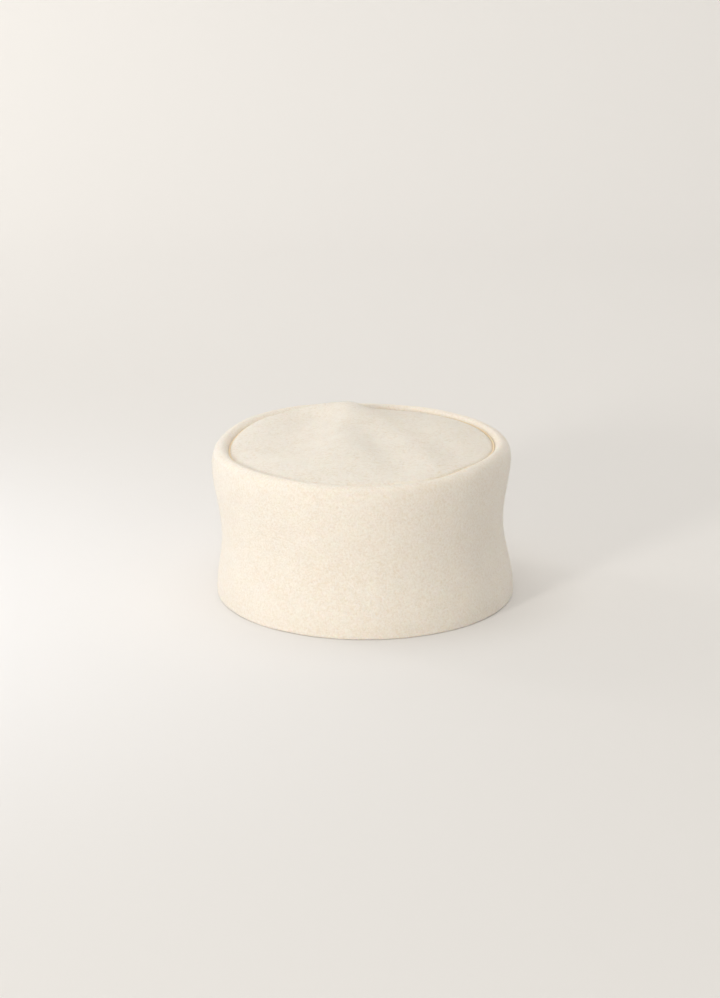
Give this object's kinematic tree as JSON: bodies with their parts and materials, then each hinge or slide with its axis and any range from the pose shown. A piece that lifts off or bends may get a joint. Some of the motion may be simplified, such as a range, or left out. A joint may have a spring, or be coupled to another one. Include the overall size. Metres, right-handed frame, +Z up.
{
  "type": "wool hat",
  "caption": "Brimless wool felt pillbox hat with a waisted side band, rolled rim and softly dented flat crown tip, open below for the head.",
  "frame": {"origin": "on the surface the hat stands on, under the middle of its box", "axes": "+Z up through the crown, +Y towards the back of the head, front of the hat towards -Y, +X to the right as seen from the front"},
  "size_m": [0.176, 0.2044, 0.0958],
  "materials": {
    "wool_felt": "matt ivory milled wool felt with a short soft nap"
  },
  "bodies": {
    "root": {"side_band": "wool_felt", "crown_tip": "wool_felt"}
  },
  "joints": []
}
